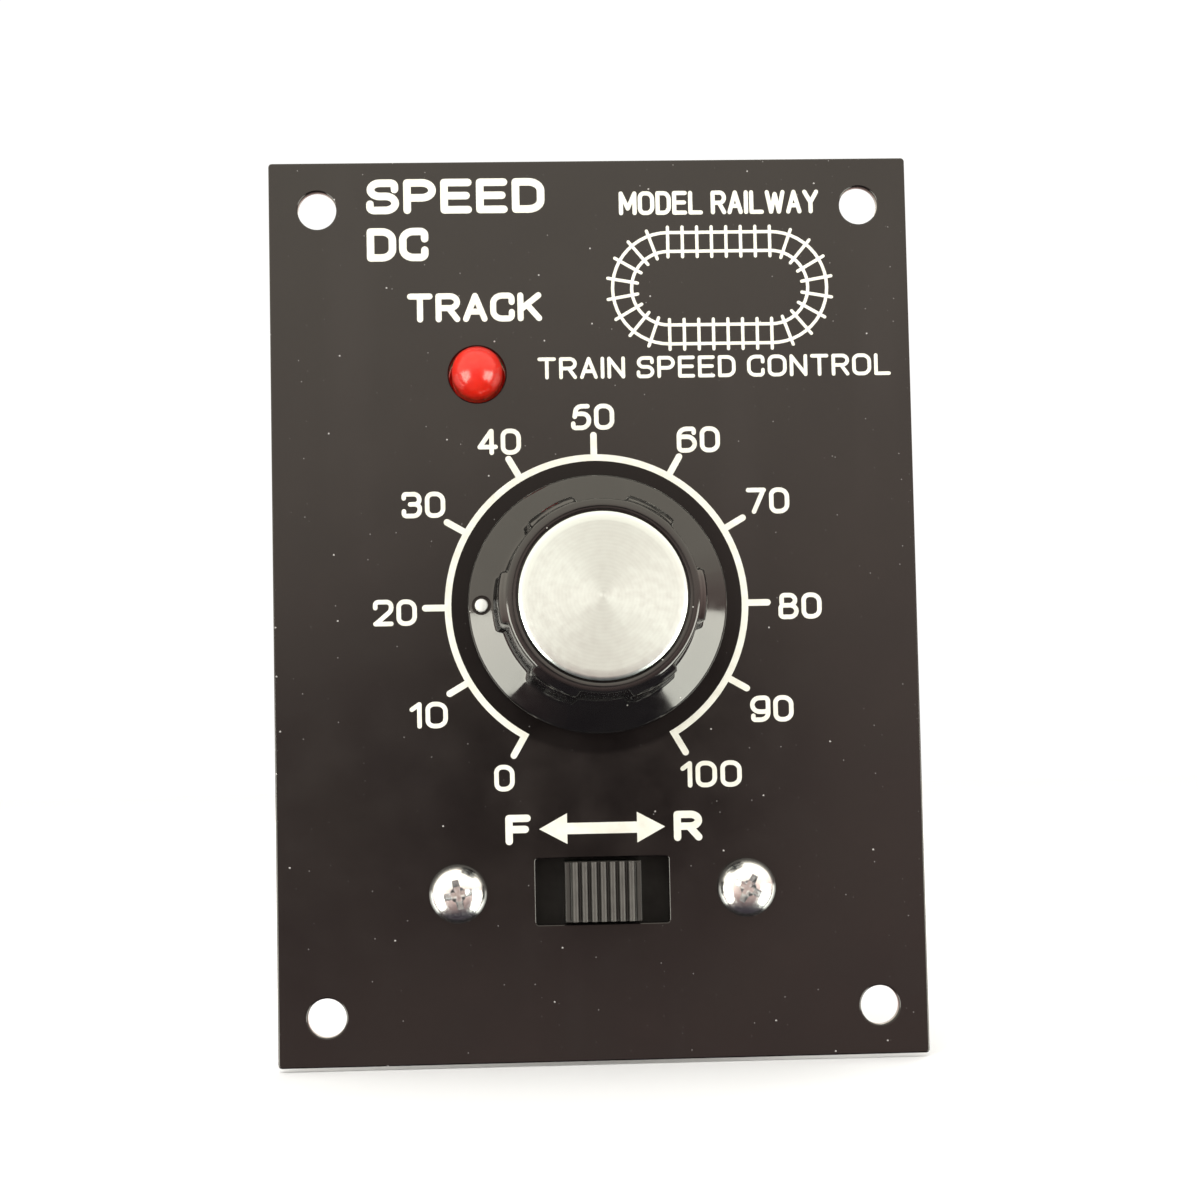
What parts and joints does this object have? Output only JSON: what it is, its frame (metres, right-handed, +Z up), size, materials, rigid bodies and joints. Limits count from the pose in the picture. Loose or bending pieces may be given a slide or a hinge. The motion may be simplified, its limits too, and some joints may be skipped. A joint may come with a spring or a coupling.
{
  "type": "model railway speed controller",
  "caption": "Panel-mounted model railway speed controller: rotary speed knob on a numbered dial, direction slide switch, track lamp, and a circuit board with screw terminals behind.",
  "frame": {"origin": "centre of the front panel's back face, on the speed knob's axis; the back face is the plane that rests on the control panel", "axes": "+X to the right as seen from the front, +Y backwards into the control panel, +Z up; the knob, lamp and switch face -Y"},
  "size_m": [0.0636, 0.0516, 0.0888],
  "materials": {
    "black_enamel": "gloss black enamel on sheet metal",
    "black_plastic": "polished black moulding",
    "ribbed_plastic": "satin black moulding",
    "spun_aluminium": "spun, fine concentric lines",
    "white_marking": "screen-printed warm white",
    "red_lens": "diffused red lens",
    "bright_zinc": "bright zinc plate",
    "tinned_metal": "dull tin plate",
    "brass": "turned or stamped",
    "brown_laminate": "paper laminate",
    "green_board": "glass laminate under green solder mask",
    "carbon_film": "matt black carbon and moulding",
    "moulded_epoxy": "moulded black epoxy",
    "black_anodised": "black anodised extrusion",
    "capacitor_sleeve": "shrunk blue sleeve",
    "terminal_green": "satin green moulding",
    "resistor_lacquer": "tan lacquer with colour bands",
    "film_capacitor_red": "dipped red lacquer",
    "cutout_yellow": "dipped yellow lacquer"
  },
  "bodies": {
    "housing": {"front_panel": "black_enamel", "pot_bush": "tinned_metal", "pot_washer": "bright_zinc", "pot_nut": "bright_zinc", "pot_wafer": "brown_laminate", "pot_track": "carbon_film", "pot_can": "tinned_metal", "pot_lug_1": "tinned_metal", "pot_lug_2": "tinned_metal", "pot_lug_3": "tinned_metal", "lamp_lens": "red_lens", "lamp_lead_anode": "tinned_metal", "lamp_lead_cathode": "tinned_metal", "switch_frame": "tinned_metal", "switch_base": "brown_laminate", "switch_lug_1": "tinned_metal", "switch_lug_2": "tinned_metal", "switch_lug_3": "tinned_metal", "switch_lug_4": "tinned_metal", "switch_lug_5": "tinned_metal", "switch_lug_6": "tinned_metal", "switch_screw_left": "bright_zinc", "switch_screw_right": "bright_zinc", "circuit_board": "green_board", "terminal_block": "terminal_green", "heat_sink": "black_anodised", "power_transistor": "moulded_epoxy", "heat_sink_screw": "bright_zinc", "bridge_rectifier": "moulded_epoxy", "smoothing_capacitor": "capacitor_sleeve", "timing_capacitor": "capacitor_sleeve", "film_capacitor": "film_capacitor_red", "overload_cutout": "cutout_yellow", "op_amp": "moulded_epoxy", "driver_transistor": "moulded_epoxy", "sensing_transistor": "moulded_epoxy", "resistor_1": "resistor_lacquer", "resistor_2": "resistor_lacquer", "resistor_3": "resistor_lacquer", "diode_1": "moulded_epoxy", "diode_2": "moulded_epoxy"},
    "speed_knob": {"knob_body": "black_plastic", "knob_cap": "spun_aluminium", "knob_pointer_dot": "white_marking", "knob_insert": "brass", "knob_grub_screw": "bright_zinc", "pot_shaft": "tinned_metal", "pot_rotor": "carbon_film", "pot_wiper": "brass"},
    "direction_slider": {"switch_slider": "ribbed_plastic", "switch_clip_upper": "brass", "switch_clip_lower": "brass"},
    "terminal_screw_1": {"terminal_screw_1": "bright_zinc"},
    "terminal_screw_2": {"terminal_screw_2": "bright_zinc"},
    "terminal_screw_3": {"terminal_screw_3": "bright_zinc"},
    "terminal_screw_4": {"terminal_screw_4": "bright_zinc"},
    "terminal_clamp_1": {"terminal_clamp_1": "bright_zinc"},
    "terminal_clamp_2": {"terminal_clamp_2": "bright_zinc"},
    "terminal_clamp_3": {"terminal_clamp_3": "bright_zinc"},
    "terminal_clamp_4": {"terminal_clamp_4": "bright_zinc"}
  },
  "joints": [
    {"name": "knob_turn", "type": "hinge", "parent": "housing", "child": "speed_knob", "pos_m": [0, 0, 0], "axis": [0, 1, 0], "range_deg": [-60, 240]},
    {"name": "direction_slide", "type": "slide", "parent": "housing", "child": "direction_slider", "axis": [1, 0, 0], "range_m": [-0.00235, 0.00235]},
    {"name": "terminal_turn_1", "type": "hinge", "parent": "housing", "child": "terminal_screw_1", "pos_m": [-0.0075, 0.0246, 0.0305], "axis": [0, -1, 0], "range_deg": [0, 1262]},
    {"name": "terminal_turn_2", "type": "hinge", "parent": "housing", "child": "terminal_screw_2", "pos_m": [-0.0025, 0.0246, 0.0305], "axis": [0, -1, 0], "range_deg": [0, 1262]},
    {"name": "terminal_turn_3", "type": "hinge", "parent": "housing", "child": "terminal_screw_3", "pos_m": [0.0025, 0.0246, 0.0305], "axis": [0, -1, 0], "range_deg": [0, 1262]},
    {"name": "terminal_turn_4", "type": "hinge", "parent": "housing", "child": "terminal_screw_4", "pos_m": [0.0075, 0.0246, 0.0305], "axis": [0, -1, 0], "range_deg": [0, 1262]},
    {"name": "clamp_rise_1", "type": "slide", "parent": "housing", "child": "terminal_clamp_1", "axis": [0, 1, 0], "range_m": [0, 0.00175]},
    {"name": "clamp_rise_2", "type": "slide", "parent": "housing", "child": "terminal_clamp_2", "axis": [0, 1, 0], "range_m": [0, 0.00175]},
    {"name": "clamp_rise_3", "type": "slide", "parent": "housing", "child": "terminal_clamp_3", "axis": [0, 1, 0], "range_m": [0, 0.00175]},
    {"name": "clamp_rise_4", "type": "slide", "parent": "housing", "child": "terminal_clamp_4", "axis": [0, 1, 0], "range_m": [0, 0.00175]}
  ],
  "couplings": [
    {"joint": "terminal_turn_1", "follows": "clamp_rise_1", "rad_per_m": 12566},
    {"joint": "terminal_turn_2", "follows": "clamp_rise_2", "rad_per_m": 12566},
    {"joint": "terminal_turn_3", "follows": "clamp_rise_3", "rad_per_m": 12566},
    {"joint": "terminal_turn_4", "follows": "clamp_rise_4", "rad_per_m": 12566}
  ]
}
